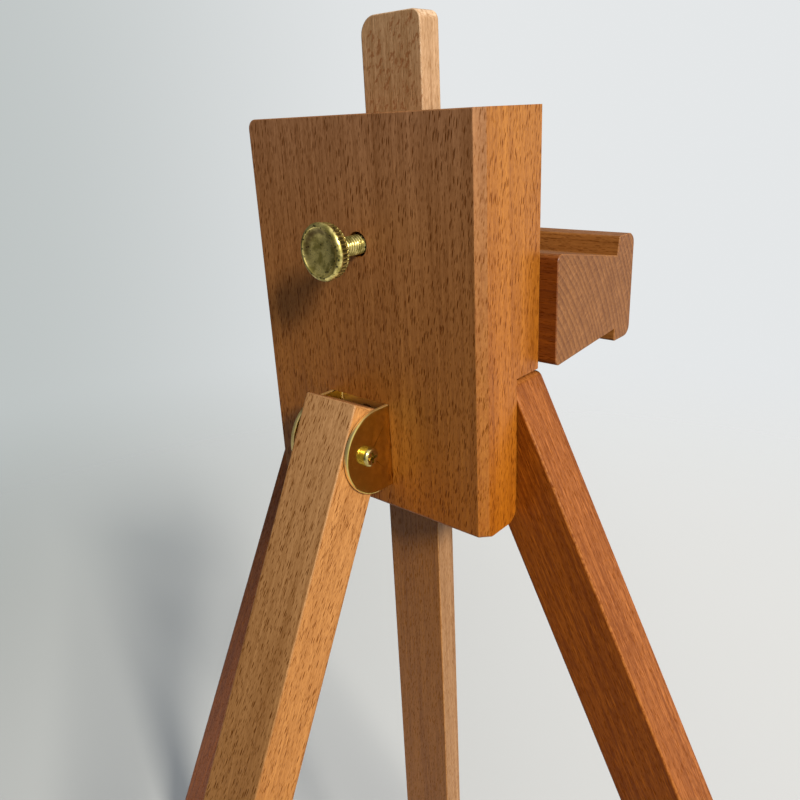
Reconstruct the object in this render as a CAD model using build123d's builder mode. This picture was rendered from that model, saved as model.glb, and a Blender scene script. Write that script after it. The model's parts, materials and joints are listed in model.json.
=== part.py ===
from build123d import *
from math import cos, radians, sin, tan
import os

# A small beech tripod easel, standing open on a table.
# Frame: +Z up from the table, -Y is the side where the canvas stands, +X is the
# right hand of somebody who faces the canvas. All sizes are in millimetres.

# Head block: the board that carries everything else
HEAD_TOP = 502.0            # height of its top above the table
HEAD_WIDTH = 90.0
HEAD_HEIGHT = 121.6
HEAD_DEPTH = 29.0
HEAD_BEVEL = 2.5            # broad bevel along its rear left edge
HEAD_CORNER = 3.0           # rounding of its top right corner
HEAD_EDGE = 0.4             # rounding of the rims of its front and back
HEAD_LOWER_EDGE = 1.2       # rounding of its lower rear edge
SHOULDER_DROP = 75.0        # from the top down to the rebates of the front legs
REBATE_DEPTH = 12.0
SPINE_WIDTH = 43.0          # wood left between the two rebates
REBATE_TOE = 4.5            # rounding under each rebate's wall
NEAR = 0.01                 # how far an edge may lie from the place it is looked for

# Mast and the channel it slides in
MAST_WIDTH = 23.0
MAST_DEPTH = 8.7
MAST_LENGTH = 420.0
MAST_ABOVE_HEAD = 26.9
MAST_OFFSET = 1.1           # the mast lies against one wall of its wider channel
MAST_LEFT_CORNER = 3.0      # the ends of the mast are rounded unevenly
MAST_RIGHT_CORNER = 5.5
MAST_EDGE = 0.5
CHANNEL_WIDTH = 25.8
CHANNEL_DEPTH = 9.0
MAST_GAP = 0.2              # free play behind the mast

# Canvas tray: one moulded batten with a lip above and below
TRAY_LENGTH = 101.7
TRAY_BACK_TOP = 39.9        # drops below the head's top
TRAY_BACK_BOTTOM = 73.8
TRAY_GROOVE_TOP = 46.5
TRAY_GROOVE_BOTTOM = 71.0
TRAY_LIP_TOP = 40.5
TRAY_LIP_BOTTOM = 75.3
TRAY_SHELF_DEPTH = 37.9
TRAY_UNDER_DEPTH = 38.4
TRAY_DEPTH = 49.5
TRAY_NOSE = 3.6             # rounding of the two front edges
TRAY_HEEL = 2.2             # rounding of the two back edges
TRAY_EDGE = 0.8
TRAY_END_CHAMFER = 0.25
DOWEL_RADIUS = 4.0
DOWEL_LENGTH = 30.0
DOWEL_IN_HEAD = 11.0
DOWEL_SPACING = 60.0
DOWEL_DROP = 57.0

# Thumb screw that clamps the mast, and its insert
THUMB_DROP = 36.2
THREAD_RADIUS = 3.0
THREAD_CLEARANCE = 0.05
THUMB_HOLE_RADIUS = 3.8
INSERT_RADIUS = 4.75
INSERT_LENGTH = 12.0
TIP_GAP = 0.1               # from the screw's tip to the mast
TIP_CHAMFER = 0.6
KNOB_RADIUS = 8.5
KNOB_RIM_RADIUS = 7.9
KNOB_BACK = 10.8            # from the head's back face to the knob
KNOB_THICKNESS = 4.8
KNOB_CHAMFER = 0.45         # height of the bevel at its back
KNOB_BEVEL = 1.5            # height of the bevel at its front
KNOB_DISH_RADIUS = 7.0
KNOB_DISH_DEPTH = 1.5
KNOB_DISH_SPHERE = (KNOB_DISH_RADIUS**2 + KNOB_DISH_DEPTH**2) / (2 * KNOB_DISH_DEPTH)
KNURL_TEETH = 40
KNURL_SIZE = 0.42
STUD_IN_KNOB = 2.5

# Brass bracket of the rear leg, let into the back of the head
BRACKET_OFFSET = 4.0        # its centre, to the right of the head's centre
BRACKET_WIDTH = 25.7
BRACKET_SHEET = 1.5
BRACKET_BEND = 0.6
BRACKET_DROP = 99.2         # the ears' centre, below the head's top
EAR_RADIUS = 13.8
EAR_CENTRE_OUT = 5.9        # from the head's back face
RECESS_DEPTH = 5.0
RECESS_GAP = 0.1
BRACKET_SCREW_SPACING = 14.0
WOOD_SCREW_RADIUS = 1.6
WOOD_SCREW_HEAD = 3.1
WOOD_SCREW_LENGTH = 13.0
COUNTERSINK_SLOPE = 45

# Rear leg, its pivot screw and nut
LEG_SPLAY_REAR = 26.4
REAR_LEG_WIDTH = 21.8
REAR_LEG_DEPTH = 18.0
REAR_LEG_EDGE = 0.6         # rounding of its long edges
REAR_PIVOT_OUT = 10.9       # from the head's back face
REAR_PIVOT_DROP = 98.8
REAR_LEG_ABOVE_PIVOT = 14.5
REAR_LEG_TOP_EDGE = 0.9
PIVOT_RADIUS = 1.6
PIVOT_CLEARANCE = 0.05
PIVOT_HEAD_RADIUS = 3.15
PIVOT_HEAD_HEIGHT = 2.3
CROWN_SHARE = 0.5           # share of a round head's height that is rounded
RECESS_WIDTH = 0.9          # cross recess of the screws
RECESS_LENGTH = 3.6
RECESS_CUT = 1.1
RECESS_TAPER = 10
NUT_RADIUS = 3.2
NUT_HEIGHT = 2.6
SCREW_PAST_NUT = 0.8

# Front legs, their pivot screws and washers
LEG_SPLAY_FRONT = 26.5
FRONT_LEG_WIDTH = 22.8
FRONT_LEG_DEPTH = 16.5
FRONT_LEG_EDGE = 1.0
FRONT_PIVOT_OUT = 39.4      # from the head's centre line
FRONT_PIVOT_DROP = 96.0
FRONT_LEG_ABOVE_PIVOT = 16.0
FRONT_LEG_TOP_EDGE = 2.5    # the corners are rounded to clear the shoulder when the leg swings
SPACER_RADIUS = 4.0
SPACER_THICKNESS = 0.5
SLIDE_GAP = 0.05            # between a leg and the washers beside it
WASHER_RADIUS = 6.0
WASHER_THICKNESS = 1.0
FRONT_SCREW_RADIUS = 2.5
FRONT_SCREW_HEAD = 4.5
FRONT_SCREW_HEAD_HEIGHT = 3.0
FRONT_SCREW_LENGTH = 30.0

# Places worked out from the sizes above
REAR_SPLAY = radians(LEG_SPLAY_REAR)
FRONT_SPLAY = radians(LEG_SPLAY_FRONT)
REAR_PIVOT_Z = HEAD_TOP - REAR_PIVOT_DROP
FRONT_PIVOT_Z = HEAD_TOP - FRONT_PIVOT_DROP
REAR_FOOT_OUT = (
    REAR_PIVOT_OUT
    + REAR_PIVOT_Z * tan(REAR_SPLAY)
    + REAR_LEG_DEPTH / 2 / cos(REAR_SPLAY)
)
TRAY_REACH = HEAD_DEPTH + TRAY_DEPTH
BACK_Y = (TRAY_REACH - REAR_FOOT_OUT) / 2      # puts the origin at the middle of the depth
FRONT_Y = BACK_Y - HEAD_DEPTH
REBATE_Y = FRONT_Y + REBATE_DEPTH
HEAD_BOTTOM = HEAD_TOP - HEAD_HEIGHT
CHANNEL_Y = FRONT_Y + CHANNEL_DEPTH
MAST_BACK_Y = CHANNEL_Y - MAST_GAP
THUMB_Z = HEAD_TOP - THUMB_DROP
BRACKET_Z = HEAD_TOP - BRACKET_DROP
BRACKET_LEFT = BRACKET_OFFSET - BRACKET_WIDTH / 2
BRACKET_RIGHT = BRACKET_OFFSET + BRACKET_WIDTH / 2
PLATE_Y = BACK_Y - RECESS_DEPTH                # underside of the bracket's base plate
PIVOT_Y = BACK_Y + REAR_PIVOT_OUT
FRONT_LEG_BACK_Y = REBATE_Y - SPACER_THICKNESS - SLIDE_GAP
FRONT_LEG_FRONT_Y = FRONT_LEG_BACK_Y - FRONT_LEG_DEPTH
WASHER_Y = FRONT_LEG_FRONT_Y - SLIDE_GAP


def facing_back(x, y, z):
    """Plane whose normal points backwards, +Y, with its x along -X and its y up."""
    return Plane(origin=(x, y, z), x_dir=(-1, 0, 0), z_dir=(0, 1, 0))


def facing_left(x, y, z):
    """Plane whose normal points to -X, with its x along -Y and its y up."""
    return Plane(origin=(x, y, z), x_dir=(0, -1, 0), z_dir=(-1, 0, 0))


def write(part, label):
    part.label = label
    export_step(part, f"parts/{label}.step")


def make_head_block():
    middle_z = HEAD_TOP - HEAD_HEIGHT / 2
    shoulder_z = HEAD_TOP - SHOULDER_DROP
    rebate_width = (HEAD_WIDTH - SPINE_WIDTH) / 2
    rebate_height = shoulder_z - HEAD_BOTTOM
    with BuildPart() as head_block:
        with BuildSketch(Plane.XY.offset(HEAD_BOTTOM)) as plan:
            with Locations((0, (FRONT_Y + BACK_Y) / 2)):
                Rectangle(HEAD_WIDTH, HEAD_DEPTH)
            chamfer(plan.vertices().sort_by_distance((-HEAD_WIDTH, BACK_Y))[0], HEAD_BEVEL)
        extrude(amount=HEAD_HEIGHT)
        top_edges = head_block.edges().filter_by(Axis.Y).group_by(Axis.Z)[-1]
        fillet(top_edges.sort_by(Axis.X)[-1], HEAD_CORNER)
        bottom_edges = head_block.edges().group_by(Axis.Z)[0]
        fillet(bottom_edges.sort_by(Axis.Y)[-2:], HEAD_LOWER_EDGE)
        fillet(head_block.faces().sort_by(Axis.Y)[-1].edges().sort_by(Axis.Z)[1:], HEAD_EDGE)
        fillet(head_block.faces().sort_by(Axis.Y)[0].edges(), HEAD_EDGE)
        # rebates that take the tops of the front legs
        for side in (-1, 1):
            rebate_x = side * (HEAD_WIDTH - rebate_width) / 2
            with BuildSketch(facing_back(rebate_x, FRONT_Y, HEAD_BOTTOM + rebate_height / 2)):
                Rectangle(rebate_width, rebate_height)
            extrude(amount=REBATE_DEPTH, mode=Mode.SUBTRACT)
        toes = (
            head_block.edges()
            .filter_by(Axis.X)
            .filter_by_position(Axis.Z, HEAD_BOTTOM - NEAR, HEAD_BOTTOM + NEAR)
            .filter_by_position(Axis.Y, REBATE_Y - NEAR, REBATE_Y + NEAR)
        )
        fillet(toes, REBATE_TOE)
        # channel of the mast, open to the front
        with BuildSketch(facing_back(0, FRONT_Y, middle_z)):
            Rectangle(CHANNEL_WIDTH, HEAD_HEIGHT)
        extrude(amount=CHANNEL_DEPTH, mode=Mode.SUBTRACT)
        # hole of the thumb screw and the wider bore that holds its insert
        with BuildSketch(facing_back(0, CHANNEL_Y, THUMB_Z)):
            Circle(THUMB_HOLE_RADIUS)
        extrude(amount=HEAD_DEPTH, mode=Mode.SUBTRACT)
        with BuildSketch(facing_back(0, CHANNEL_Y, THUMB_Z)):
            Circle(INSERT_RADIUS)
        extrude(amount=INSERT_LENGTH, mode=Mode.SUBTRACT)
        # recess of the bracket, with the pilot holes of its two screws
        with BuildSketch(facing_back(BRACKET_OFFSET, PLATE_Y, BRACKET_Z)):
            Rectangle(BRACKET_WIDTH + 2 * RECESS_GAP, 2 * (EAR_RADIUS + RECESS_GAP))
        extrude(amount=RECESS_DEPTH, mode=Mode.SUBTRACT)
        with BuildSketch(facing_back(BRACKET_OFFSET, PLATE_Y, BRACKET_Z)):
            with GridLocations(0, BRACKET_SCREW_SPACING, 1, 2):
                Circle(WOOD_SCREW_RADIUS)
        extrude(amount=BRACKET_SHEET - WOOD_SCREW_LENGTH, mode=Mode.SUBTRACT)
        # pilot holes of the front legs' screws
        with BuildSketch(facing_back(0, REBATE_Y, FRONT_PIVOT_Z)):
            with GridLocations(2 * FRONT_PIVOT_OUT, 0, 2, 1):
                Circle(FRONT_SCREW_RADIUS)
        extrude(amount=FRONT_SCREW_LENGTH + WASHER_Y - WASHER_THICKNESS - REBATE_Y, mode=Mode.SUBTRACT)
        # sockets of the tray's dowels
        with BuildSketch(facing_back(0, FRONT_Y, HEAD_TOP - DOWEL_DROP)):
            with GridLocations(DOWEL_SPACING, 0, 2, 1):
                Circle(DOWEL_RADIUS)
        extrude(amount=DOWEL_IN_HEAD, mode=Mode.SUBTRACT)
    write(head_block.part, "head_block")


def make_mast():
    middle_z = HEAD_TOP + MAST_ABOVE_HEAD - MAST_LENGTH / 2
    with BuildPart() as mast:
        with BuildSketch(facing_back(MAST_OFFSET, MAST_BACK_Y - MAST_DEPTH, middle_z)) as face:
            Rectangle(MAST_WIDTH, MAST_LENGTH)
            fillet(face.vertices().group_by(Axis.X)[-1], MAST_LEFT_CORNER)
            fillet(face.vertices().group_by(Axis.X)[0], MAST_RIGHT_CORNER)
        extrude(amount=MAST_DEPTH)
        fillet(mast.faces().sort_by(Axis.Y)[-1].edges(), MAST_EDGE)
        fillet(mast.faces().sort_by(Axis.Y)[0].edges(), MAST_EDGE)
    write(mast.part, "mast")


def tray_outline():
    """Section of the tray, as (distance in front of the head, drop, rounding) corners."""
    # the shelf slopes down to the lip, whose wall stands square on it
    shelf_slope = (TRAY_GROOVE_TOP - TRAY_BACK_TOP) / TRAY_SHELF_DEPTH
    wall_lean = (TRAY_GROOVE_TOP - TRAY_LIP_TOP) * shelf_slope
    return [
        (0, TRAY_BACK_TOP, TRAY_HEEL),
        (TRAY_SHELF_DEPTH, TRAY_GROOVE_TOP, 0),
        (TRAY_SHELF_DEPTH + wall_lean, TRAY_LIP_TOP, TRAY_EDGE),
        (TRAY_DEPTH, TRAY_LIP_TOP, TRAY_NOSE),
        (TRAY_DEPTH, TRAY_LIP_BOTTOM, TRAY_NOSE),
        (TRAY_UNDER_DEPTH, TRAY_LIP_BOTTOM, TRAY_EDGE),
        (TRAY_UNDER_DEPTH, TRAY_GROOVE_BOTTOM, 0),
        (0, TRAY_BACK_BOTTOM, TRAY_HEEL),
    ]


def make_tray():
    corners = tray_outline()
    with BuildPart() as tray:
        with BuildSketch(facing_left(0, FRONT_Y, HEAD_TOP)) as section:
            with BuildLine():
                Polyline([(out, -drop) for out, drop, rounding in corners], close=True)
            make_face()
            for out, drop, rounding in corners:
                if rounding:
                    corner = section.vertices().sort_by_distance((out, -drop))[0]
                    fillet(corner, rounding)
        extrude(amount=TRAY_LENGTH / 2, both=True)
        ends = tray.faces().filter_by(Axis.X).sort_by(Axis.X)
        chamfer(ends[0].edges() + ends[-1].edges(), TRAY_END_CHAMFER)
        # sockets of the dowels in its back
        with BuildSketch(facing_back(0, FRONT_Y, HEAD_TOP - DOWEL_DROP)):
            with GridLocations(DOWEL_SPACING, 0, 2, 1):
                Circle(DOWEL_RADIUS)
        extrude(amount=DOWEL_IN_HEAD - DOWEL_LENGTH, mode=Mode.SUBTRACT)
    write(tray.part, "tray")


def make_tray_dowels():
    with BuildPart() as tray_dowels:
        with BuildSketch(facing_back(0, FRONT_Y + DOWEL_IN_HEAD, HEAD_TOP - DOWEL_DROP)):
            with GridLocations(DOWEL_SPACING, 0, 2, 1):
                Circle(DOWEL_RADIUS)
        extrude(amount=-DOWEL_LENGTH)
    write(tray_dowels.part, "tray_dowels")


def make_thread_insert():
    with BuildPart() as thread_insert:
        with BuildSketch(facing_back(0, CHANNEL_Y, THUMB_Z)):
            Circle(INSERT_RADIUS)
            Circle(THREAD_RADIUS + THREAD_CLEARANCE, mode=Mode.SUBTRACT)
        extrude(amount=INSERT_LENGTH)
    write(thread_insert.part, "thread_insert")


def make_thumb_stud():
    tip_y = MAST_BACK_Y + TIP_GAP
    length = BACK_Y + KNOB_BACK + STUD_IN_KNOB - tip_y
    with BuildPart() as thumb_stud:
        with BuildSketch(facing_back(0, tip_y, THUMB_Z)):
            Circle(THREAD_RADIUS)
        extrude(amount=length)
        chamfer(thumb_stud.edges().sort_by(Axis.Y)[0], TIP_CHAMFER)
    write(thumb_stud.part, "thumb_stud")


def make_thumb_knob():
    knob_y = BACK_Y + KNOB_BACK
    front = KNOB_THICKNESS
    dish_floor = front - KNOB_DISH_DEPTH
    with BuildPart() as thumb_knob:
        # turned body, drawn as its half section: distance from the axis, height above its back
        with BuildSketch(Plane(origin=(0, knob_y, THUMB_Z))):
            with BuildLine():
                Polyline(
                    (0, dish_floor),
                    (0, 0),
                    (KNOB_RIM_RADIUS, 0),
                    (KNOB_RADIUS, KNOB_CHAMFER),
                    (KNOB_RADIUS, front - KNOB_BEVEL),
                    (KNOB_RIM_RADIUS, front),
                    (KNOB_DISH_RADIUS, front),
                )
                RadiusArc((KNOB_DISH_RADIUS, front), (0, dish_floor), KNOB_DISH_SPHERE)
            make_face()
        revolve(axis=Axis((0, knob_y, THUMB_Z), (0, 1, 0)))
        # straight knurl
        with BuildSketch(facing_back(0, knob_y, THUMB_Z)):
            with PolarLocations(KNOB_RADIUS, KNURL_TEETH):
                RegularPolygon(KNURL_SIZE, 4)
        extrude(amount=KNOB_THICKNESS, mode=Mode.SUBTRACT)
        # blind hole of the threaded stud
        with BuildSketch(facing_back(0, knob_y, THUMB_Z)):
            Circle(THREAD_RADIUS)
        extrude(amount=STUD_IN_KNOB, mode=Mode.SUBTRACT)
    write(thumb_knob.part, "thumb_knob")


def make_rear_bracket():
    wall = BRACKET_SHEET
    tip_y = BACK_Y + EAR_CENTRE_OUT + EAR_RADIUS
    height = 2 * EAR_RADIUS
    with BuildPart() as rear_bracket:
        # bent strip, seen from above
        with BuildSketch(Plane.XY.offset(BRACKET_Z - EAR_RADIUS)) as strip:
            with BuildLine():
                Polyline(
                    (BRACKET_LEFT, tip_y),
                    (BRACKET_LEFT, PLATE_Y),
                    (BRACKET_RIGHT, PLATE_Y),
                    (BRACKET_RIGHT, tip_y),
                    (BRACKET_RIGHT - wall, tip_y),
                    (BRACKET_RIGHT - wall, PLATE_Y + wall),
                    (BRACKET_LEFT + wall, PLATE_Y + wall),
                    (BRACKET_LEFT + wall, tip_y),
                    close=True,
                )
            make_face()
            fillet(strip.vertices().group_by(Axis.Y)[1], BRACKET_BEND)
            fillet(strip.vertices().group_by(Axis.Y)[0], wall + BRACKET_BEND)
        extrude(amount=height)
        # round the ears
        inner_depth = EAR_CENTRE_OUT + RECESS_DEPTH
        with BuildSketch(facing_left(BRACKET_RIGHT, BACK_Y + EAR_CENTRE_OUT, BRACKET_Z)):
            Circle(EAR_RADIUS)
            with Locations((inner_depth / 2, 0)):
                Rectangle(inner_depth, height)
        extrude(amount=BRACKET_WIDTH, mode=Mode.INTERSECT)
        # holes of the pivot screw
        with BuildSketch(facing_left(BRACKET_RIGHT, PIVOT_Y, REAR_PIVOT_Z)):
            Circle(PIVOT_RADIUS + PIVOT_CLEARANCE)
        extrude(amount=BRACKET_WIDTH, mode=Mode.SUBTRACT)
        # countersunk holes of the wood screws
        with Locations(facing_back(BRACKET_OFFSET, PLATE_Y + wall, BRACKET_Z)):
            with GridLocations(0, BRACKET_SCREW_SPACING, 1, 2):
                CounterSinkHole(WOOD_SCREW_RADIUS, WOOD_SCREW_HEAD, depth=wall)
    write(rear_bracket.part, "rear_bracket")


def cross_recess(plane, spots):
    """The tool that cuts a cross recess below each spot of the plane."""
    with BuildPart() as recess:
        with BuildSketch(plane):
            with Locations(spots):
                Rectangle(RECESS_LENGTH, RECESS_WIDTH)
                Rectangle(RECESS_WIDTH, RECESS_LENGTH)
        extrude(amount=-RECESS_CUT, taper=RECESS_TAPER)
    return recess.part


def make_bracket_screws():
    surface = facing_back(BRACKET_OFFSET, PLATE_Y + BRACKET_SHEET, BRACKET_Z)
    cone_height = WOOD_SCREW_HEAD - WOOD_SCREW_RADIUS
    half = BRACKET_SCREW_SPACING / 2
    recesses = cross_recess(surface, [(0, -half), (0, half)])
    with BuildPart() as bracket_screws:
        with BuildSketch(surface):
            with GridLocations(0, BRACKET_SCREW_SPACING, 1, 2):
                Circle(WOOD_SCREW_HEAD)
        extrude(amount=-cone_height, taper=COUNTERSINK_SLOPE)
        with BuildSketch(surface):
            with GridLocations(0, BRACKET_SCREW_SPACING, 1, 2):
                Circle(WOOD_SCREW_RADIUS)
        extrude(amount=-WOOD_SCREW_LENGTH)
        add(recesses, mode=Mode.SUBTRACT)
    write(bracket_screws.part, "bracket_screws")


def make_rear_pivot_screw():
    head_plane = facing_left(BRACKET_LEFT, PIVOT_Y, REAR_PIVOT_Z)
    length = BRACKET_WIDTH + NUT_HEIGHT + SCREW_PAST_NUT
    recess = cross_recess(head_plane.offset(PIVOT_HEAD_HEIGHT), [(0, 0)])
    with BuildPart() as rear_pivot_screw:
        with BuildSketch(head_plane):
            Circle(PIVOT_HEAD_RADIUS)
        extrude(amount=PIVOT_HEAD_HEIGHT)
        fillet(rear_pivot_screw.edges().sort_by(Axis.X)[0], PIVOT_HEAD_HEIGHT * CROWN_SHARE)
        with BuildSketch(head_plane):
            Circle(PIVOT_RADIUS)
        extrude(amount=-length)
        add(recess, mode=Mode.SUBTRACT)
    write(rear_pivot_screw.part, "rear_pivot_screw")


def make_rear_pivot_nut():
    with BuildPart() as rear_pivot_nut:
        with BuildSketch(facing_left(BRACKET_RIGHT + NUT_HEIGHT, PIVOT_Y, REAR_PIVOT_Z)):
            RegularPolygon(NUT_RADIUS, 6)
            Circle(PIVOT_RADIUS, mode=Mode.SUBTRACT)
        extrude(amount=NUT_HEIGHT)
    write(rear_pivot_nut.part, "rear_pivot_nut")


def leg_bar(pivot, down, wide, size, above_pivot):
    """A bar with broken edges, from above its pivot down to the table, cut level there.

    down and wide are the directions of its length and width; size is its width, its
    depth, the rounding of its long edges and that of its two upper corners."""
    width, depth, edge, top_edge = size
    top = pivot - down * above_pivot
    length = (top.Z + width) / -down.Z
    through = Axis(top, wide.cross(down))
    with BuildPart() as bar:
        with BuildSketch(Plane(origin=top, x_dir=wide, z_dir=down)):
            Rectangle(width, depth)
        extrude(amount=length)
        upper_face = bar.faces().sort_by(Axis.Z)[-1]
        fillet(upper_face.edges().filter_by(through), top_edge)
        rims = bar.faces().filter_by(through).edges().sort_by(Axis(top, down))
        fillet(rims[:-2], edge)
        split(bisect_by=Plane.XY, keep=Keep.TOP)
    return bar.part


def make_rear_leg():
    down = Vector(0, sin(REAR_SPLAY), -cos(REAR_SPLAY))
    pivot = Vector(BRACKET_OFFSET, PIVOT_Y, REAR_PIVOT_Z)
    size = (REAR_LEG_WIDTH, REAR_LEG_DEPTH, REAR_LEG_EDGE, REAR_LEG_TOP_EDGE)
    bar = leg_bar(pivot, down, Vector(1, 0, 0), size, REAR_LEG_ABOVE_PIVOT)
    with BuildPart() as rear_leg:
        add(bar)
        with BuildSketch(facing_left(BRACKET_RIGHT, PIVOT_Y, REAR_PIVOT_Z)):
            Circle(PIVOT_RADIUS + PIVOT_CLEARANCE)
        extrude(amount=BRACKET_WIDTH, mode=Mode.SUBTRACT)
    write(rear_leg.part, "rear_leg")


def make_front_leg(label, side):
    down = Vector(side * sin(FRONT_SPLAY), 0, -cos(FRONT_SPLAY))
    wide = Vector(cos(FRONT_SPLAY), 0, side * sin(FRONT_SPLAY))
    middle_y = (FRONT_LEG_BACK_Y + FRONT_LEG_FRONT_Y) / 2
    pivot = Vector(side * FRONT_PIVOT_OUT, middle_y, FRONT_PIVOT_Z)
    size = (FRONT_LEG_WIDTH, FRONT_LEG_DEPTH, FRONT_LEG_EDGE, FRONT_LEG_TOP_EDGE)
    bar = leg_bar(pivot, down, wide, size, FRONT_LEG_ABOVE_PIVOT)
    with BuildPart() as front_leg:
        add(bar)
        with BuildSketch(facing_back(side * FRONT_PIVOT_OUT, FRONT_LEG_FRONT_Y, FRONT_PIVOT_Z)):
            Circle(FRONT_SCREW_RADIUS + PIVOT_CLEARANCE)
        extrude(amount=FRONT_LEG_DEPTH, mode=Mode.SUBTRACT)
    write(front_leg.part, label)


def make_washer(label, side, back_y, radius, thickness):
    """Flat washer on the screw of a front leg, with its back face at back_y."""
    with BuildPart() as washer:
        with BuildSketch(facing_back(side * FRONT_PIVOT_OUT, back_y, FRONT_PIVOT_Z)):
            Circle(radius)
            Circle(FRONT_SCREW_RADIUS + PIVOT_CLEARANCE, mode=Mode.SUBTRACT)
        extrude(amount=-thickness)
    write(washer.part, label)


def make_front_pivot_screw(label, side):
    seat_y = WASHER_Y - WASHER_THICKNESS
    crown = facing_back(side * FRONT_PIVOT_OUT, seat_y - FRONT_SCREW_HEAD_HEIGHT, FRONT_PIVOT_Z)
    recess = cross_recess(-crown, [(0, 0)])
    with BuildPart() as front_pivot_screw:
        with BuildSketch(crown):
            Circle(FRONT_SCREW_HEAD)
        extrude(amount=FRONT_SCREW_HEAD_HEIGHT)
        fillet(front_pivot_screw.edges().sort_by(Axis.Y)[0], FRONT_SCREW_HEAD_HEIGHT * CROWN_SHARE)
        with BuildSketch(facing_back(side * FRONT_PIVOT_OUT, seat_y, FRONT_PIVOT_Z)):
            Circle(FRONT_SCREW_RADIUS)
        extrude(amount=FRONT_SCREW_LENGTH)
        add(recess, mode=Mode.SUBTRACT)
    write(front_pivot_screw.part, label)


def make_front_leg_set(name, side):
    """One front leg with its screw and washers; side is -1 or 1 along X."""
    make_front_leg(f"front_leg_{name}", side)
    make_washer(f"front_spacer_{name}", side, REBATE_Y, SPACER_RADIUS, SPACER_THICKNESS)
    make_washer(f"front_washer_{name}", side, WASHER_Y, WASHER_RADIUS, WASHER_THICKNESS)
    make_front_pivot_screw(f"front_pivot_screw_{name}", side)


os.makedirs("parts", exist_ok=True)
make_head_block()
make_mast()
make_tray()
make_tray_dowels()
make_thread_insert()
make_thumb_stud()
make_thumb_knob()
make_rear_bracket()
make_bracket_screws()
make_rear_pivot_screw()
make_rear_pivot_nut()
make_rear_leg()
make_front_leg_set("left", -1)
make_front_leg_set("right", 1)
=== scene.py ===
"""A small beech tripod easel: looks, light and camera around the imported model."""

import json
import math
from collections import namedtuple
from types import SimpleNamespace

import bpy
from mathutils import Matrix, Vector


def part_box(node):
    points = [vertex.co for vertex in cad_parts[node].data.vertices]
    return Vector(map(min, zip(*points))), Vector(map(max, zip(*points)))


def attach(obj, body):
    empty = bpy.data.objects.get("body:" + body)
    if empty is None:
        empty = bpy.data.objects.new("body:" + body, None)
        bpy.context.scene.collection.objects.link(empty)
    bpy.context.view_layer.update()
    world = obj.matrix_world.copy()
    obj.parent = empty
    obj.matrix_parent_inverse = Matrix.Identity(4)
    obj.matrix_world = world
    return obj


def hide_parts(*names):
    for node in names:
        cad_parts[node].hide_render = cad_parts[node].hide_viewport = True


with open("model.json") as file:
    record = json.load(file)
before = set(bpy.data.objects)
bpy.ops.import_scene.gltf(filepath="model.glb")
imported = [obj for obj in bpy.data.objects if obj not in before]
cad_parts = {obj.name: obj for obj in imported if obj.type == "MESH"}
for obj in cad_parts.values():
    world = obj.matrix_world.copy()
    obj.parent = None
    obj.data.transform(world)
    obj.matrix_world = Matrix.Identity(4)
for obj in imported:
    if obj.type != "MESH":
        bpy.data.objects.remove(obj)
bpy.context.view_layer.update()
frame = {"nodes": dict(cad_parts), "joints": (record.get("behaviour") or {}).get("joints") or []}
nodes = frame["nodes"]
joints = {joint["name"]: joint for joint in frame["joints"]}
MM = 0.001

X, Y, Z = Vector((1, 0, 0)), Vector((0, 1, 0)), Vector((0, 0, 1))
LIGHT_FROM = Vector((-0.81, 0.30, 0.51)).normalized()   # where the key light stands
ROOM_FROM = Vector((-0.86, -0.35, 0.37)).normalized()   # the bright side of the room
TO_RIGHT = Vector((-0.755, -0.656, 0))                  # towards which the painted shade on floor and backdrop lightens
# Painted shade: the backdrop's colours, darker away from TO_RIGHT.
BACKDROP = ((0.51, 0.545, 0.54), (0.78, 0.80, 0.81))
BACKDROP_SPAN = (-0.55, 0.1)                            # how far towards TO_RIGHT its two colours are reached
ROOM_COLOUR = (0.95, 0.98, 1.02)
ROOM_SPAN = (-0.35, 0.95)                               # the same towards ROOM_FROM, for its two strengths
ROOM_STRENGTH = (0.06, 1.0)
KEY_STRENGTH = 4.2
KEY_WIDTH = 12                                          # degrees
KEY_COLOUR = (1.0, 0.94, 0.84)

FLOOR_REACH = 6.0                                       # metres
FLOOR_FADE = (500, 1500)                                # from the origin, millimetres
FLOOR_SPAN = (-0.8, 0.5)                                # metres towards TO_RIGHT
# Painted shade: the floor the camera sees, darker away from TO_RIGHT.
FLOOR_SEEN = ((0.30, 0.322, 0.318), (0.66, 0.67, 0.675))
FLOOR_IN_REFLECTIONS = (0.6, 0.6, 0.6)
FLOOR_AS_LIGHT = (0.21, 0.21, 0.21)

CAMERA_PLACE = (-0.15839, 0.08934, 0.50087)             # metres
CAMERA_FORWARD = (0.62590, -0.69536, -0.35315)
CAMERA_UP = (0.19709, -0.29710, 0.93429)
CAMERA_LENS = 33.84                                     # millimetres
SENSOR_WIDTH = 36

# Noise in the materials: feature size in millimetres along three axes, and a shift from the material's seed.
Noise = namedtuple("Noise", "size detail roughness shift")
Cells = namedtuple("Cells", "size shift")

# In wood the third axis runs along the grain.
DRIFT = Noise((11, 11, 80), 1, 0.5, 0)
WOBBLE = Noise((16, 16, 160), 2, 0.5, 3)
STRIPES = Noise((1.1, 1.1, 45), 3, 0.6, 5)
BROAD_STRIPES = Noise((8, 8, 150), 1, 0.5, 7)
FIBRES = Noise((0.42, 0.42, 4.5), 3, 0.65, 9)
MOTTLE = Noise((0.55, 0.55, 1.5), 2, 0.6, 23)
FLECKS = Cells((0.60, 0.60, 4.2), 0)
SMALL_FLECKS = Cells((0.42, 0.42, 2.2), 11)
RAYS = Noise((0.28, 6, 4), 1, 0.5, 12)
STREAKS = Noise((0.5, 0.5, 7), 2, 0.5, 25)
SMEARS = Noise((1.9, 1.9, 3.6), 4, 0.7, 13)
# These don't follow the grain.
RUBBING = Noise((1.1, 1.1, 2.0), 4, 0.7, 17)
DENTS = Cells((11, 11, 11), 19)
SHEEN = Noise((14, 14, 14), 1, 0.5, 21)

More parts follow.
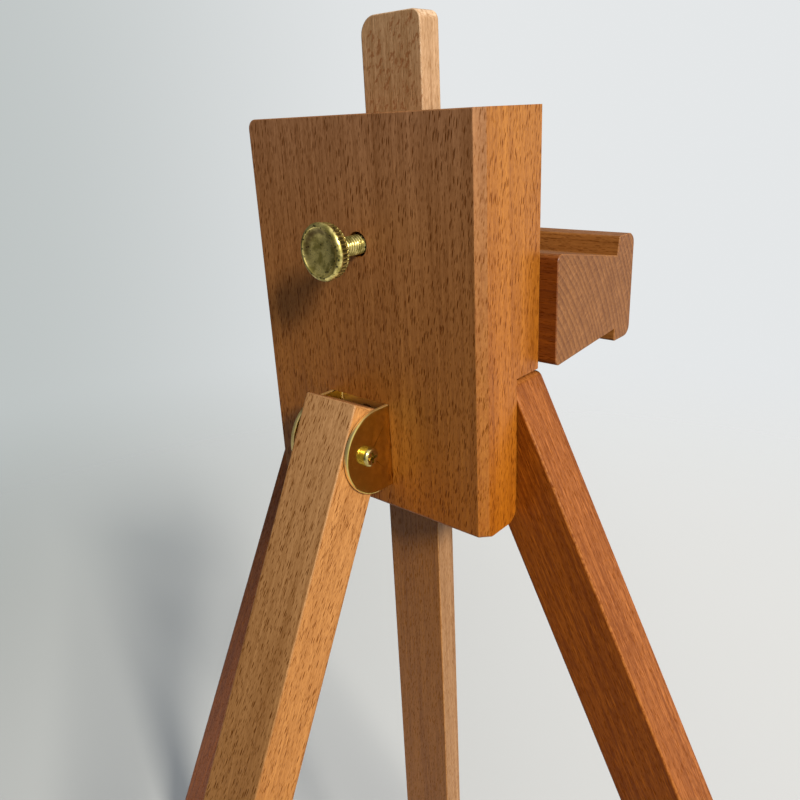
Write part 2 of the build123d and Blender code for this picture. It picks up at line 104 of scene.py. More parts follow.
# Colours inside the wood, as shares of its mean colour.
PALE = (1.42, 1.50, 1.70)
DEEP = (0.66, 0.56, 0.42)
FLECK = (0.34, 0.20, 0.05)
LATE_END = (0.33, 0.252, 0.168)
RAY = (1.5, 1.75, 3.0)
STREAK = (1.9, 2.1, 3.0)
SMEAR = (0.60, 0.38, 0.24)
# BARE is bare wood in dents and on rubbed edges, where it also serves as a painted highlight.
BARE = (1.45, 1.7, 2.2)

# How strong each layer of the wood's look is; a part's own call changes what differs.
BROAD_STRIPE_SHARE = 0.22
MOTTLE_SHARE = 0.2
FIBRE_SHARE = 0.42
RAY_SHARE = 0.4
DENT_SHARE = 0.35
BEECH = {
    "ring": 2.7,                        # millimetres from one growth ring to the next
    "ring_share": 0.2,
    "pith": (0, -90),                   # the tree's centre, from the bar's centre
    "turn": 45.0,                       # degrees by which the rings are turned about the bar
    "sway": 2.0,                        # how far the grain wanders, millimetres
    "stripe_share": 0.4,
    "lean": 0.14,                       # slope of the flecks
    "fleck_share": 0.95,
    "small_share": 0.7,
    "streaks": 0.0,                     # pale streaks
    "smears": 0.0,                      # brown smears, on the upper broad faces
    "edge_share": 0.3,                  # bare wood on rounded edges: rubbed wear, and a painted highlight where it is strong
    "end_tint": (0.8, 0.72, 0.7),       # of end grain
    "end_ring": 0.7,
    "face_tint": (1, 1, 1),             # painted light, shade and sheen: a tint of the broad faces, across depth
    "low": None,                        # painted shade towards one end: (axis, start, end, tint, more tint on the broad faces)
    "gloss": 0.28,                      # how much the varnish reflects
}

# Depths of relief, millimetres.
WOOD_RELIEF = 0.05
SHEEN_RELIEF = 0.25
METAL_RELIEF = 0.012

# The bracket and the thumb screw, in millimetres; heights start at the lower Y end of the CAD node.
BRACKET_EDGE = 0.35                     # width of the softened edges
KNOB_TEETH = 40
POINTS_A_TOOTH = 12
KNURL_DEPTH = 0.75
KNURL_SPAN = (0.38, 3.42)               # heights at which the teeth have run out
KNURL_RUN_OUT = (0.2, 0.25)             # over which the teeth grow, and over which they shrink
DISH_FLOOR = 3.2
DISH_DEPTH = 1.3
DISH_RADIUS = 6.8
DISH_STEP = 0.15                        # from one ring of points to the next
SHADE_RADIUS = 6.0                      # where painted shade lies in the dish
SHADE_WIDTH = 1.4
SHADE_SIDE = 0.9                        # radians from +X
THREAD_PITCH = 1.0
THREAD_ROOT = 2.52
THREAD_DEPTH = 0.46
THREAD_TIPS = (2.35, 2.6)               # radii of its two ends
RINGS_A_PITCH = 8
POINTS_AROUND_THREAD = 48


# ---------------------------------------------------------------- node helpers
class Nodes:
    """A node tree, built in few words. Lengths inside are millimetres."""

    def __init__(self, tree, seed=0.0):
        self.tree = tree
        self.tree.nodes.clear()
        self.seed = seed
        self.coordinates = self.new("ShaderNodeTexCoord")

    def new(self, kind):
        return self.tree.nodes.new(kind)

    def join(self, source, target):
        self.tree.links.new(source, target)

    def put(self, socket, value):
        if isinstance(value, bpy.types.NodeSocket):
            self.join(value, socket)
        elif isinstance(value, (tuple, list, Vector)):
            alpha = (1,) if len(value) == 3 and socket.type == "RGBA" else ()
            socket.default_value = tuple(value) + alpha
        else:
            socket.default_value = value

    def number(self, operation, a, b=0.0, c=0.0, clamp=False):
        node = self.new("ShaderNodeMath")
        node.operation = operation
        node.use_clamp = clamp
        for socket, value in zip(node.inputs, (a, b, c)):
            self.put(socket, value)
        return node.outputs[0]

    def times(self, a, b):
        return self.number("MULTIPLY", a, b)

    def add(self, amount, share, total):
        """The total plus a share of the amount."""
        return self.number("MULTIPLY_ADD", amount, share, total)

    def vector(self, operation, a, b=(0, 0, 0), scale=1.0):
        node = self.new("ShaderNodeVectorMath")
        node.operation = operation
        self.put(node.inputs[0], a)
        if operation == "SCALE":
            node.inputs["Scale"].default_value = scale
        elif operation != "LENGTH":
            self.put(node.inputs[1], b)
        return node.outputs["Value" if operation in ("DOT_PRODUCT", "LENGTH") else "Vector"]

    def combine(self, a, b, c):
        node = self.new("ShaderNodeCombineXYZ")
        for socket, value in zip(node.inputs, (a, b, c)):
            self.put(socket, value)
        return node.outputs[0]

    def separate(self, vector):
        node = self.new("ShaderNodeSeparateXYZ")
        self.join(vector, node.inputs[0])
        return node.outputs

    def along(self, source, *axes):
        """Components of a vector along each of some directions."""
        return [self.vector("DOT_PRODUCT", source, axis) for axis in axes]

    def scatter(self, place, size, shift):
        """A place, scaled so that features have the wanted size, and moved so that layers differ."""
        scaled = self.vector("MULTIPLY", place, tuple(1 / s for s in size))
        return self.vector("ADD", scaled, shift)

    def noise(self, place, kind, colour=False):
        node = self.new("ShaderNodeTexNoise")
        node.noise_dimensions = "3D"
        shift = self.seed + kind.shift
        self.join(self.scatter(place, kind.size, (shift, shift * 1.7, shift * 0.6)), node.inputs["Vector"])
        node.inputs["Scale"].default_value = 1
        node.inputs["Detail"].default_value = kind.detail
        node.inputs["Roughness"].default_value = kind.roughness
        return node.outputs["Color" if colour else "Fac"]

    def cells(self, place, kind):
        """Distance to the nearest of scattered points, and two random numbers for each of them."""
        node = self.new("ShaderNodeTexVoronoi")
        node.voronoi_dimensions = "3D"
        shift = self.seed + kind.shift
        self.join(self.scatter(place, kind.size, (shift, shift * 0.7, shift * 1.9)), node.inputs["Vector"])
        node.inputs["Scale"].default_value = 1
        split = self.new("ShaderNodeSeparateColor")
        self.join(node.outputs["Color"], split.inputs[0])
        return node.outputs["Distance"], split.outputs[0], split.outputs[1]

    def ramp(self, value, low, high, to_low=0.0, to_high=1.0, smooth=True):
        """Goes from to_low to to_high, while the value goes from low to high."""
        node = self.new("ShaderNodeMapRange")
        node.interpolation_type = "SMOOTHSTEP" if smooth else "LINEAR"
        for key, number in (("Value", value), ("From Min", low), ("From Max", high),
                            ("To Min", to_low), ("To Max", to_high)):
            self.put(node.inputs[key], number)
        return node.outputs[0]

    def line(self, value, low, high, to_low=0.0, to_high=1.0):
        """A straight ramp."""
        return self.ramp(value, low, high, to_low, to_high, smooth=False)

    def mix(self, amount, a, b, blend="MIX"):
        node = self.new("ShaderNodeMix")
        node.data_type = "RGBA"
        node.blend_type = blend
        self.put(node.inputs["Factor"], amount)
        for key, value in (("A", a), ("B", b)):
            self.put(next(s for s in node.inputs if s.name == key and s.type == "RGBA"), value)
        return next(s for s in node.outputs if s.type == "RGBA")

    def layer(self, colour, amount, share, top):
        """A colour with a share of another over it, where the amount is 1."""
        return self.mix(self.times(amount, share), colour, top)

    def tint(self, colour, amount, tint):
        """A colour multiplied by a tint, where the amount is 1."""
        return self.mix(amount, colour, self.mix(1.0, colour, tint, blend="MULTIPLY"))

    def gradient(self, source, span, colours):
        """Blends two colours towards TO_RIGHT: painted shade on floor and backdrop."""
        return self.mix(self.ramp(self.vector("DOT_PRODUCT", source, TO_RIGHT), *span), *colours)


class Paint(Nodes):
    """The nodes of one material."""

    def __init__(self, name, seed=0.0):
        self.material = bpy.data.materials.new(name)
        self.material.use_nodes = True
        super().__init__(self.material.node_tree, seed)
        self.output = self.new("ShaderNodeOutputMaterial")
        self.shader = self.new("ShaderNodeBsdfPrincipled")
        self.join(self.shader.outputs["BSDF"], self.output.inputs["Surface"])
        self.place = self.vector("SCALE", self.coordinates.outputs["Object"], scale=1 / MM)

    def bump(self, height, depth, strength=1.0, normal=None):
        """Surface relief: height 0..1 stands for depth millimetres."""
        node = self.new("ShaderNodeBump")
        node.inputs["Strength"].default_value = strength
        node.inputs["Distance"].default_value = depth * MM
        self.put(node.inputs["Height"], height)
        if normal is not None:
            self.join(normal, node.inputs["Normal"])
        return node.outputs[0]

    def set(self, **values):
        for key, value in values.items():
            self.put(self.shader.inputs[key.replace("_", " ")], value)


def shade(colour, factors):
    return tuple(c * f for c, f in zip(colour, factors))


# ---------------------------------------------------------------- wood
class Beech(Paint):
    """Varnished beech on one bar. Its grain fills the bar, so that it runs on over the edges.

    axes are the directions along the bar, across it and through its depth; base is the mean colour."""

    def __init__(self, name, node, axes, base, seed, **changes):
        super().__init__(name, seed)
        self.base = base
        self.look = SimpleNamespace(**{**BEECH, **changes})
        self.find_grain(node, *axes)
        self.find_faces(*axes)
        self.late = self.late_wood()
        self.fibre = self.noise(self.grain, FIBRES)
        self.draw_flecks()

        colour = self.end_grain_colour(self.plain_colour())
        colour = self.layer(colour, self.fleck, self.look.fleck_share, shade(base, FLECK))
        colour = self.layer(colour, self.small_fleck, self.look.small_share, shade(base, FLECK))
        colour = self.add_rays(colour)
        if self.look.streaks:
            streak = self.ramp(self.noise(self.grain, STREAKS), 0.56, 0.70)
            colour = self.layer(colour, streak, self.look.streaks, shade(base, STREAK))
        if self.look.smears:
            colour = self.add_smears(colour)
        # Rubbed edges, whose pale wood is also a painted highlight, and dents.
        colour = self.add_wear_and_highlight(colour)
        # Painted light: the broad faces get a tint for their light, shade and sheen.
        colour = self.tint(colour, self.facing[1], self.look.face_tint)
        # Painted shade: darker and warmer towards one end of an axis, more so on the broad faces.
        if self.look.low:
            colour = self.add_painted_shade(colour, *self.look.low)
        self.finish(colour)

    def find_grain(self, node, along, across, depth):
        """Places from the bar's centre: straight follows the bar, grain also wanders."""
        corner, far_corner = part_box(node)
        local = self.vector("SUBTRACT", self.place, (corner + far_corner) / 2 / MM)
        self.cos, self.sin = math.cos(math.radians(self.look.turn)), math.sin(math.radians(self.look.turn))
        tangent, radial, self.length = self.along(
            local, across * self.cos + depth * self.sin, depth * self.cos - across * self.sin, along)
        self.full_length = (far_corner - corner).dot(along) / MM
        self.straight = self.combine(tangent, radial, self.length)
        drift = self.vector("SUBTRACT", self.noise(self.straight, DRIFT, colour=True), (0.5, 0.5, 0.5))
        self.grain = self.vector("ADD", self.straight, self.vector("SCALE", drift, scale=self.look.sway))

    def find_faces(self, along, across, depth):
        """Which way the surface faces: along the bar is end grain, and between the axes is a rounded edge."""
        normal = self.coordinates.outputs["Normal"]
        self.facing = [self.number("ABSOLUTE", n) for n in self.along(normal, across, depth, along)]
        narrow, broad, end = self.facing
        flattest = self.number("MAXIMUM", self.number("MAXIMUM", narrow, broad), end)
        self.end_grain = self.ramp(end, 0.55, 0.9)
        self.edge = self.ramp(flattest, 0.99, 0.88)

    def late_wood(self):
        """Darkens slowly through each growth ring and ends sharply."""
        tangent, radial, _ = self.separate(self.grain)
        aside, away = self.look.pith
        far = self.vector("LENGTH", self.combine(
            self.number("SUBTRACT", tangent, aside), self.number("SUBTRACT", radial, away), 0.0))
        far = self.add(self.noise(self.grain, WOBBLE), self.look.sway, far)
        years = Noise((3 * self.look.ring, 1, 1), 1, 0.5, 4)
        far = self.add(self.noise(self.combine(far, 0.0, 0.0), years), 1.6 * self.look.ring, far)
        phase = self.number("FRACT", self.number("DIVIDE", far, self.look.ring))
        return self.times(self.number("POWER", phase, 2.2), self.ramp(phase, 1.0, 0.90))

    def draw_flecks(self):
        """Short dark dashes, which lean the same way on the broad faces and on the narrow ones."""
        narrow, broad, _ = self.facing
        lean = self.combine(
            self.add(broad, self.cos, self.times(narrow, self.sin)),
            self.add(broad, -self.sin, self.times(narrow, self.cos)), 0.0)
        lean = self.vector("MULTIPLY", lean, self.combine(self.length, self.length, self.length))
        leaning = self.vector("ADD", self.grain, self.vector("SCALE", lean, scale=self.look.lean))
        distance, size, weight = self.cells(leaning, FLECKS)
        reach = self.add(size, 0.18, 0.25)
        fleck = self.ramp(distance, reach, self.times(reach, 0.6))
        fleck = self.times(fleck, self.ramp(weight, 0.0, 0.7, 0.4, 1.0))
        self.fleck = self.times(fleck, self.number("SUBTRACT", 1.0, self.end_grain))
        distance, size, _ = self.cells(leaning, SMALL_FLECKS)
        self.small_fleck = self.times(self.ramp(distance, 0.40, 0.18), size)

    def plain_colour(self):
        """Stripes, growth rings, mottle and fibres."""
        amount = self.times(self.line(self.noise(self.grain, STRIPES), 0.32, 0.68), self.look.stripe_share)
        broad_stripes = self.line(self.noise(self.grain, BROAD_STRIPES), 0.3, 0.7)
        amount = self.add(broad_stripes, BROAD_STRIPE_SHARE, amount)
        amount = self.add(self.late, self.look.ring_share, amount)
        amount = self.add(self.line(self.noise(self.grain, MOTTLE), 0.3, 0.7), MOTTLE_SHARE, amount)
        amount = self.add(self.line(self.fibre, 0.3, 0.7), FIBRE_SHARE, amount)
        amount = self.number("SUBTRACT", amount, 0.1, clamp=True)
        return self.mix(amount, shade(self.base, PALE), shade(self.base, DEEP))

    def end_grain_colour(self, colour):
        colour = self.tint(colour, self.end_grain, self.look.end_tint)
        rings = self.times(self.late, self.end_grain)
        return self.layer(colour, rings, self.look.end_ring, shade(self.base, LATE_END))

    def add_rays(self, colour):
        """Fine pale lines across the growth rings, in end grain."""
        rays = self.times(self.ramp(self.noise(self.straight, RAYS), 0.56, 0.72), self.end_grain)
        return self.layer(colour, rays, RAY_SHARE, shade(self.base, RAY))

    def add_smears(self, colour):
        slanted = self.vector("MULTIPLY", self.combine(self.length, 0.0, 0.0), (0.5, 0, 0))
        slanted = self.vector("ADD", self.grain, slanted)
        smear = self.ramp(self.noise(slanted, SMEARS), 0.52, 0.63)
        high = self.ramp(self.number("DIVIDE", self.length, self.full_length), -0.05, 0.35)
        smear = self.times(self.times(smear, high), self.ramp(self.facing[1], 0.5, 0.9))
        return self.layer(colour, smear, self.look.smears, shade(self.base, SMEAR))

    def add_wear_and_highlight(self, colour):
        """Bare wood on rubbed edges, which also paints a highlight along them, and in small dents."""
        self.rubbing = self.noise(self.place, RUBBING)
        self.worn_and_lit_edge = self.times(self.edge, self.ramp(self.rubbing, 0.36, 0.62))
        colour = self.layer(colour, self.worn_and_lit_edge, self.look.edge_share, shade(self.base, BARE))
        distance, size, pick = self.cells(self.place, DENTS)
        dent = self.ramp(distance, self.add(size, 0.05, 0.02), 0.01)
        self.dent = self.times(dent, self.ramp(pick, 0.55, 0.6))
        return self.layer(colour, self.dent, DENT_SHARE, shade(self.base, BARE))

    # Painted shade along an axis.
    def add_painted_shade(self, colour, axis, start, end, tint, broad_tint):
        share = self.line(self.along(self.place, axis)[0], start, end)
        colour = self.tint(colour, share, tint)
        return self.tint(colour, self.times(share, self.facing[1]), broad_tint)

    def finish(self, colour):
        """Relief, roughness and sheen of the varnish; flecks are duller."""
        relief = self.add(self.fleck, -0.8, self.times(self.fibre, 0.6))
        relief = self.add(self.dent, -1.2, relief)
        relief = self.add(self.times(self.rubbing, self.edge), 0.8, relief)
        normal = self.bump(relief, WOOD_RELIEF)
        normal = self.bump(self.noise(self.place, SHEEN), SHEEN_RELIEF, 0.5, normal)
        rough = self.line(self.fibre, 0.2, 0.8, 0.36, 0.52)
        rough = self.add(self.end_grain, 0.14, rough)
        rough = self.add(self.worn_and_lit_edge, 0.06, rough)
        gloss = self.look.gloss
        dull = self.number("MAXIMUM", self.fleck, self.small_fleck)
        self.set(Base_Color=colour, Roughness=rough, Normal=normal,
                 Coat_Weight=0.2 * gloss, Coat_Roughness=0.25,
                 Specular_IOR_Level=self.ramp(dull, 0.0, 0.8, gloss, 0.15 * gloss))


# ---------------------------------------------------------------- metal and fibre board
TARNISH = Noise((2.6, 2.6, 2.6), 4, 0.6, 0)
GRAININESS = Noise((0.35, 0.35, 0.35), 3, 0.7, 2)
SCRATCHES = Noise((0.12, 4, 4), 2, 0.6, 6)
STEEL_CLOUDS = Noise((2, 2, 2), 4, 0.6, 0)
STEEL_GRAIN = Noise((0.1, 0.1, 0.1), 2, 0.5, 2)
FELT = Noise((0.3, 0.3, 0.3), 4, 0.7, 0)
PIT_COLOUR = (0.012, 0.012, 0.006)
GRIME_AND_SHADE_COLOUR = (0.05, 0.025, 0.006)
GRIME_AND_SHADE_SHARE = 0.92


def brass(name, bright, dull, seed, rough, speck, speck_size=1.0, rim=None, metallic=1.0):
    """Aged brass: uneven tarnish, small dark pits, fine scratches, and soiling and painted shade where the
    mesh says so.

    speck is how dark the pits are and speck_size their spacing. rim is a paler colour painted as a highlight
    on the faces that don't look along X."""
    paint = Paint(name, seed)
    cloud = paint.noise(paint.place, TARNISH)
    fine = paint.noise(paint.place, GRAININESS)
    colour = paint.mix(paint.ramp(cloud, 0.38, 0.62), bright, dull)
    colour = paint.mix(paint.ramp(fine, 0.5, 0.85, 0, 0.3), colour, shade(dull, (0.5, 0.5, 0.5)))
    distance, size, pick = paint.cells(paint.place, Cells((speck_size,) * 3, 4))
    pit = paint.ramp(paint.add(fine, 0.25, distance), paint.add(size, 0.25, 0.42), 0.34)
    pit = paint.times(paint.times(pit, paint.ramp(pick, 0.62, 0.74)), speck)
    colour = paint.mix(pit, colour, PIT_COLOUR)
    roughness = paint.line(cloud, 0.3, 0.7, *rough)
    roughness = paint.number("MULTIPLY_ADD", pit, 0.3, roughness, clamp=True)
    # Painted highlight: the faces that don't look along X get the paler rim colour.
    if rim:
        sideways, = paint.along(paint.coordinates.outputs["Normal"], X)
        on_rim = paint.ramp(paint.number("ABSOLUTE", sideways), 0.9, 0.5)
        colour = paint.mix(on_rim, colour, rim)
        roughness = paint.number("MAXIMUM", roughness, paint.times(on_rim, 0.5))
    # The mesh's attribute darkens the brass: soiling in the grooves, painted shade in the dish.
    grime_and_shade = paint.new("ShaderNodeAttribute")
    grime_and_shade.attribute_name = "grime_and_shade"
    colour = paint.layer(colour, grime_and_shade.outputs["Fac"], GRIME_AND_SHADE_SHARE, GRIME_AND_SHADE_COLOUR)
    relief = paint.add(pit, -0.8, paint.times(paint.noise(paint.place, SCRATCHES), 0.25))
    relief = paint.add(fine, 0.2, relief)
    paint.set(Base_Color=colour, Metallic=metallic, Roughness=roughness,
              Normal=paint.bump(relief, METAL_RELIEF))
    return paint.material


def steel(name, seed):
    paint = Paint(name, seed)
    cloud = paint.noise(paint.place, STEEL_CLOUDS)
    colour = paint.mix(paint.ramp(cloud, 0.4, 0.7), (0.56, 0.55, 0.52), (0.38, 0.36, 0.33))
    paint.set(Base_Color=colour, Metallic=1.0, Roughness=paint.ramp(cloud, 0.3, 0.7, 0.28, 0.45),
              Normal=paint.bump(paint.noise(paint.place, STEEL_GRAIN), 0.015))
    return paint.material


def fibre_board(name, seed):
    paint = Paint(name, seed)
    felt = paint.noise(paint.place, FELT)
    colour = paint.mix(paint.ramp(felt, 0.3, 0.7), (0.03, 0.022, 0.017), (0.012, 0.009, 0.008))
    paint.set(Base_Color=colour, Roughness=paint.ramp(felt, 0.3, 0.7, 0.7, 0.9),
              Normal=paint.bump(felt, 0.05))
    return paint.material


# ---------------------------------------------------------------- materials on the CAD nodes
def wear(node, material):
    """Gives a CAD node its material."""
    target = nodes[node]
    target.data.materials.clear()
    target.data.materials.append(material)


def wear_beech(node, name, axes, base, seed, **changes):
    wear(node, Beech(f"{name}_beech", node, axes, base, seed, **changes).material)


def paint_wood():
    # Painted light: the head's tint across depth lightens and blues its broad faces as sheen; its low tint
    # paints shade towards the bottom.
    wear_beech("head_block", "head", (Z, X, Y), (0.325, 0.118, 0.0125), 1.0, ring_share=0.12,
               face_tint=(0.91, 1.16, 4.6), low=(Z, 505, 385, (0.90, 0.70, 0.22), (1.0, 0.87, 0.43)))
    # Painted light: the mast's high edge share paints a highlight along its edges; its low tint paints shade
    # towards the bottom.
    wear_beech("mast", "mast", (Z, X, Y), (0.42, 0.25, 0.122), 5.0, ring_share=0.1, fleck_share=0.2,
               small_share=0.5, smears=0.75, edge_share=0.9, end_tint=(1, 1, 1),
               low=(Z, 530, 380, (0.72, 0.62, 0.50), (0.84, 0.60, 0.24)))
    # Painted shade: the tray's low tint darkens its rear strip beside the head.
    wear_beech("tray", "tray", (X, Z, Y), (0.27, 0.103, 0.021), 9.0, ring=2.2, ring_share=0.3, turn=-148,
               sway=0.8, pith=(0, -110), lean=0, fleck_share=0.5, small_share=0.5, edge_share=0.15,
               low=(Y, -118, -104, (1, 1, 1), (0.60, 0.36, 0.10)), end_tint=(0.76, 0.78, 0.92), end_ring=0.75)
    wear_beech("tray_dowels", "dowel", (Y, X, Z), (0.55, 0.36, 0.20), 23.0)

    splay = math.radians(joints["rear_leg_fold"]["range_deg"][1])
    down = Vector((0, math.sin(splay), -math.cos(splay)))
    back = Vector((0, math.cos(splay), math.sin(splay)))
    # Painted light: the rear leg's tint across depth lightens its broad faces; its low tint paints shade
    # lower down.
    wear_beech("rear_leg", "rear_leg", (down, X, back), (0.42, 0.19, 0.055), 13.0, ring_share=0.1, lean=-0.10,
               face_tint=(0.95, 1.10, 1.50), low=(Z, 420, 280, (0.77, 0.67, 0.44), (0.74, 0.70, 0.65)))

    splay = math.radians(joints["front_leg_left_fold"]["range_deg"][1])
    for side, name in ((-1, "front_leg_left"), (1, "front_leg_right")):
        down = Vector((side * math.sin(splay), 0, -math.cos(splay)))
        outward = Vector((side * math.cos(splay), 0, math.sin(splay)))
        # Painted light: the front legs' tint across depth lightens and blues their outer faces.
        wear_beech(name, name, (down, Y, outward), (0.24, 0.060, 0.003), 17.0 + side, ring_share=0.3, lean=0,
                   fleck_share=0.4, small_share=0.5, stripe_share=0.6, streaks=0.45, edge_share=0.9,
                   face_tint=(1.04, 1.28, 4.6), gloss=0.12)


def paint_fittings():
    """Returns the brass of the thumb screw."""
    knob_brass = brass("knob_brass", (0.92, 0.77, 0.27), (0.34, 0.28, 0.07), 31.0, rough=(0.24, 0.44),
                       speck=0.95, speck_size=0.95, metallic=0.85)
    # The ear's rim colour is a painted highlight.
    ear_brass = brass("ear_brass", (0.72, 0.53, 0.13), (0.60, 0.43, 0.08), 35.0, rough=(0.14, 0.22),
                      speck=0.0, rim=(1.0, 0.80, 0.34))
    screw_brass = brass("screw_brass", (0.72, 0.58, 0.22), (0.42, 0.33, 0.11), 41.0, rough=(0.14, 0.28),
                        speck=0.3)
    wear("thumb_knob", knob_brass)
    wear("rear_bracket", ear_brass)
    for node in ("thumb_stud", "thread_insert", "bracket_screws", "rear_pivot_screw", "rear_pivot_nut"):
        wear(node, screw_brass)
    plain_steel = steel("plain_steel", 51.0)
    washer_fibre = fibre_board("washer_fibre", 55.0)
    for side in ("left", "right"):
        wear(f"front_pivot_screw_{side}", plain_steel)
        wear(f"front_washer_{side}", plain_steel)
        wear(f"front_spacer_{side}", washer_fibre)
    return knob_brass


# ---------------------------------------------------------------- pieces finer than their CAD nodes
def soften(node, width):
    """Breaks the sharp edges of a CAD node, so that they catch the light."""
    weld = nodes[node].modifiers.new("weld", "WELD")
    weld.merge_threshold = 0.01 * MM
    bevel = nodes[node].modifiers.new("edge", "BEVEL")
    bevel.width = width * MM
    bevel.segments = 2
    bevel.limit_method = "ANGLE"
    bevel.angle_limit = math.radians(40)


def turned(name, node, heights, around, radius, grime_and_shade, material):
    """A body of revolution about the axis of a CAD node of the thumb screw, which it replaces.

    heights are those of its rings, radius(ring, angle) is in millimetres, and grime(ring, angle) says from
    0 to 1 how dark the metal is made there, by soiling and by painted shade."""
    low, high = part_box(node)
    start = Vector(((low.x + high.x) / 2, low.y, (low.z + high.z) / 2))
    angles = [2 * math.pi * i / around for i in range(around)]
    points = [start + Vector((radius(i, a) * math.cos(a), y, radius(i, a) * math.sin(a))) * MM
              for i, y in enumerate(heights) for a in angles]
    faces = [(row + i, row + (i + 1) % around, row + around + (i + 1) % around, row + around + i)
             for row in range(0, around * (len(heights) - 1), around) for i in range(around)]
    first, last = len(points), len(points) + 1
    points += [start + Y * heights[0] * MM, start + Y * heights[-1] * MM]
    end = around * (len(heights) - 1)
    faces += [(first, (i + 1) % around, i) for i in range(around)]
    faces += [(last, end + i, end + (i + 1) % around) for i in range(around)]
    mesh = bpy.data.meshes.new(name)
    mesh.from_pydata(points, [], faces)
    mesh.shade_smooth()
    darkening = [grime_and_shade(i, a) for i in range(len(heights)) for a in angles] + [0.0, 0.0]
    mesh.attributes.new("grime_and_shade", "FLOAT", "POINT").data.foreach_set("value", darkening)
    mesh.materials.append(material)
    piece = bpy.data.objects.new(name, mesh)
    bpy.context.scene.collection.objects.link(piece)
    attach(piece, "thumb_screw")
    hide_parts(node)


def make_knob(material):
    """The knurled knob: a toothed band that widens to a round lip, and a dish in its face."""
    back = [(0.02, 0.5), (0.0, 4.5), (0.0, 6.9), (0.06, 7.2), (0.2, 7.45), (0.36, 7.62)]
    band = [(0.42, 7.68), (0.52, 7.85)]
    band += [(0.62 + 0.25 * i, 8.0 + 0.03 * i) for i in range(11)]
    band += [(3.32, 8.33)]
    lip = [(3.48, 8.38), (3.7, 8.42), (3.95, 8.36), (4.2, 8.22), (4.45, 8.0), (4.64, 7.74), (4.75, 7.5),
           (4.80, 7.3), (4.79, 7.14), (4.74, 7.02), (4.66, 6.93)]
    rings_in_dish = int(DISH_RADIUS / DISH_STEP)
    dish = [(4.56, 6.85)] + [(DISH_FLOOR + DISH_DEPTH * (DISH_STEP * i / DISH_RADIUS) ** 4, DISH_STEP * i)
                             for i in range(rings_in_dish, 0, -1)]
    profile = back + band + lip + dish
    band_start, band_end = KNURL_SPAN
    growth, decline = KNURL_RUN_OUT

    def groove(i, angle):
        """Depth between the teeth, 0 to 1; it runs out at both ends of the band."""
        if profile[i] not in band:
            return 0.0
        y, _ = profile[i]
        run_out = min(1, (y - band_start) / growth, (band_end - y) / decline)
        return (0.5 - 0.5 * math.cos(KNOB_TEETH * angle)) ** 0.8 * run_out

    def grime_and_shade(i, angle):
        """Dirt lies between the teeth; painted shade lies in a ring along one side of the dish."""
        if profile[i] not in dish:
            return 0.2 * (groove(i, angle) > 0) + 0.8 * groove(i, angle) ** 0.7
        _, full = profile[i]
        # Painted shade: a ring in the dish, darkest on one side.
        ring = math.exp(-((full - SHADE_RADIUS) / SHADE_WIDTH) ** 2)
        return ring * (0.5 + 0.5 * math.cos(angle - SHADE_SIDE)) ** 1.5

    def radius(i, angle):
        return profile[i][1] - KNURL_DEPTH * groove(i, angle)

    heights = [y for y, _ in profile]
    turned("knurled_knob", "thumb_knob", heights, KNOB_TEETH * POINTS_A_TOOTH, radius, grime_and_shade, material)


def make_thread(material):
    """The stud with its thread; both ends taper."""
    low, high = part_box("thumb_stud")
    length = (high.y - low.y) / MM
    count = int(length / THREAD_PITCH * RINGS_A_PITCH)
    heights = [length * i / count for i in range(count + 1)]
    start_tip, end_tip = THREAD_TIPS

    def ridge(i, angle):
        return (0.5 + 0.5 * math.cos(2 * math.pi * heights[i] / THREAD_PITCH - angle)) ** 0.8

    def radius(i, angle):
        threaded = THREAD_ROOT + THREAD_DEPTH * ridge(i, angle)
        return min(threaded, start_tip + heights[i], end_tip + length - heights[i])

    def grime_and_shade(i, angle):
        return 0.8 * (1 - ridge(i, angle))

    turned("threaded_stud", "thumb_stud", heights, POINTS_AROUND_THREAD, radius, grime_and_shade, material)


# ---------------------------------------------------------------- floor, light, camera
def make_floor():
    """A pale disc that fades into the backdrop, with painted shade that darkens it away from TO_RIGHT.
    Reflections and bounced light see it in plain greys.
    """
    count = 128
    mesh = bpy.data.meshes.new("floor")
    angles = [2 * math.pi * i / count for i in range(count)]
    rim = [(FLOOR_REACH * math.cos(a), FLOOR_REACH * math.sin(a), 0) for a in angles]
    mesh.from_pydata(rim, [], [tuple(range(count))])
    floor = bpy.data.objects.new("floor", mesh)
    bpy.context.scene.collection.objects.link(floor)
    paint = Paint("pale_floor")
    tone = paint.noise(paint.place, Noise((300, 300, 300), 2, 0.5, 0))
    seen = paint.gradient(paint.coordinates.outputs["Object"], FLOOR_SPAN, FLOOR_SEEN)
    seen = paint.tint(seen, tone, (1.02, 1.02, 1.02))
    path = paint.new("ShaderNodeLightPath")
    unseen = paint.mix(path.outputs["Is Diffuse Ray"], FLOOR_IN_REFLECTIONS, FLOOR_AS_LIGHT)
    paint.set(Base_Color=paint.mix(path.outputs["Is Camera Ray"], unseen, seen), Roughness=0.85,
              Specular_IOR_Level=0.1)
    clear = paint.new("ShaderNodeBsdfTransparent")
    blend = paint.new("ShaderNodeMixShader")
    paint.join(paint.ramp(paint.vector("LENGTH", paint.place), *FLOOR_FADE), blend.inputs["Fac"])
    paint.join(paint.shader.outputs[0], blend.inputs[1])
    paint.join(clear.outputs[0], blend.inputs[2])
    paint.join(blend.outputs[0], paint.output.inputs["Surface"])
    mesh.materials.append(paint.material)


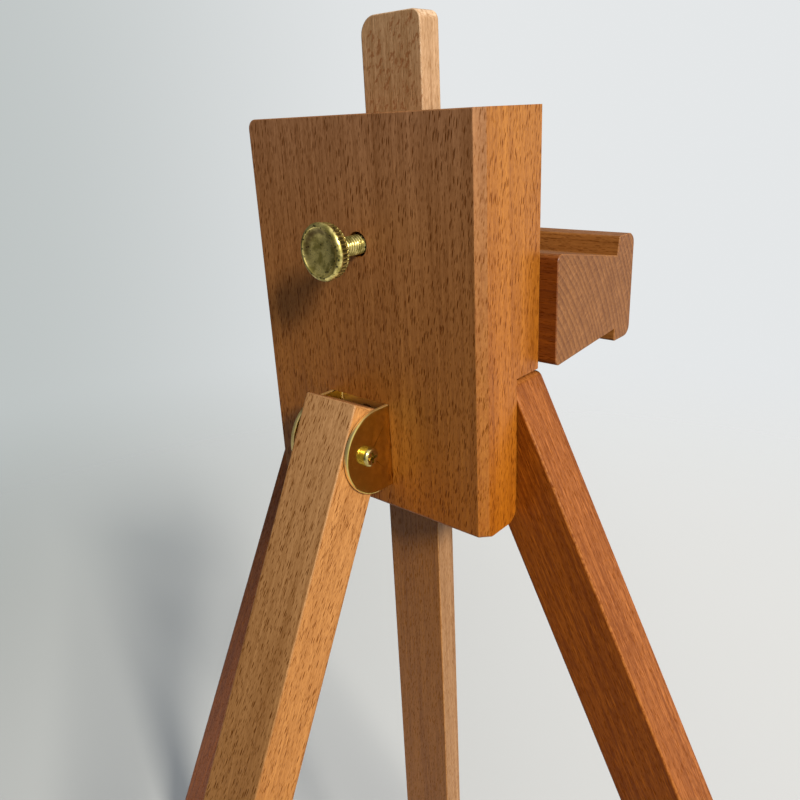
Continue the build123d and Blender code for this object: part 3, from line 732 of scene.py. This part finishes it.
def make_world():
    """Backdrop for the camera, with painted shade that darkens it away from TO_RIGHT; for the light, a room
    that is bright on one side.
    """
    world = bpy.data.worlds.new("studio")
    bpy.context.scene.world = world
    world.use_nodes = True
    sky = Nodes(world.node_tree)
    direction = sky.coordinates.outputs["Generated"]
    room = sky.new("ShaderNodeBackground")
    sky.put(room.inputs["Color"], ROOM_COLOUR)
    towards_room = sky.vector("DOT_PRODUCT", direction, ROOM_FROM)
    sky.join(sky.ramp(towards_room, *ROOM_SPAN, *ROOM_STRENGTH), room.inputs["Strength"])
    backdrop = sky.new("ShaderNodeBackground")
    sky.join(sky.gradient(direction, BACKDROP_SPAN, BACKDROP), backdrop.inputs["Color"])
    path, blend, output = (sky.new(f"ShaderNode{kind}") for kind in ("LightPath", "MixShader", "OutputWorld"))
    sky.join(path.outputs["Is Camera Ray"], blend.inputs["Fac"])
    sky.join(room.outputs[0], blend.inputs[1])
    sky.join(backdrop.outputs[0], blend.inputs[2])
    sky.join(blend.outputs[0], output.inputs["Surface"])


def add_key_light():
    """A broad, distant lamp."""
    data = bpy.data.lights.new("key", "SUN")
    data.energy = KEY_STRENGTH
    data.angle = math.radians(KEY_WIDTH)
    data.color = KEY_COLOUR
    lamp = bpy.data.objects.new("key", data)
    lamp.location = LIGHT_FROM * 2
    lamp.rotation_euler = (-LIGHT_FROM).to_track_quat("-Z", "Y").to_euler()
    bpy.context.scene.collection.objects.link(lamp)


def make_camera():
    forward = Vector(CAMERA_FORWARD).normalized()
    right = forward.cross(Vector(CAMERA_UP)).normalized()
    up = right.cross(forward)
    data = bpy.data.cameras.new("camera")
    data.sensor_width = SENSOR_WIDTH
    data.lens = CAMERA_LENS
    data.clip_start = 0.01
    camera = bpy.data.objects.new("camera", data)
    turn = Matrix((right, up, -forward)).transposed().to_4x4()
    camera.matrix_world = Matrix.Translation(CAMERA_PLACE) @ turn
    bpy.context.scene.collection.objects.link(camera)
    bpy.context.scene.camera = camera


paint_wood()
thumb_brass = paint_fittings()
soften("rear_bracket", BRACKET_EDGE)
make_knob(thumb_brass)
make_thread(thumb_brass)

bpy.context.scene.view_settings.view_transform = "Standard"
make_floor()
make_world()
add_key_light()
make_camera()
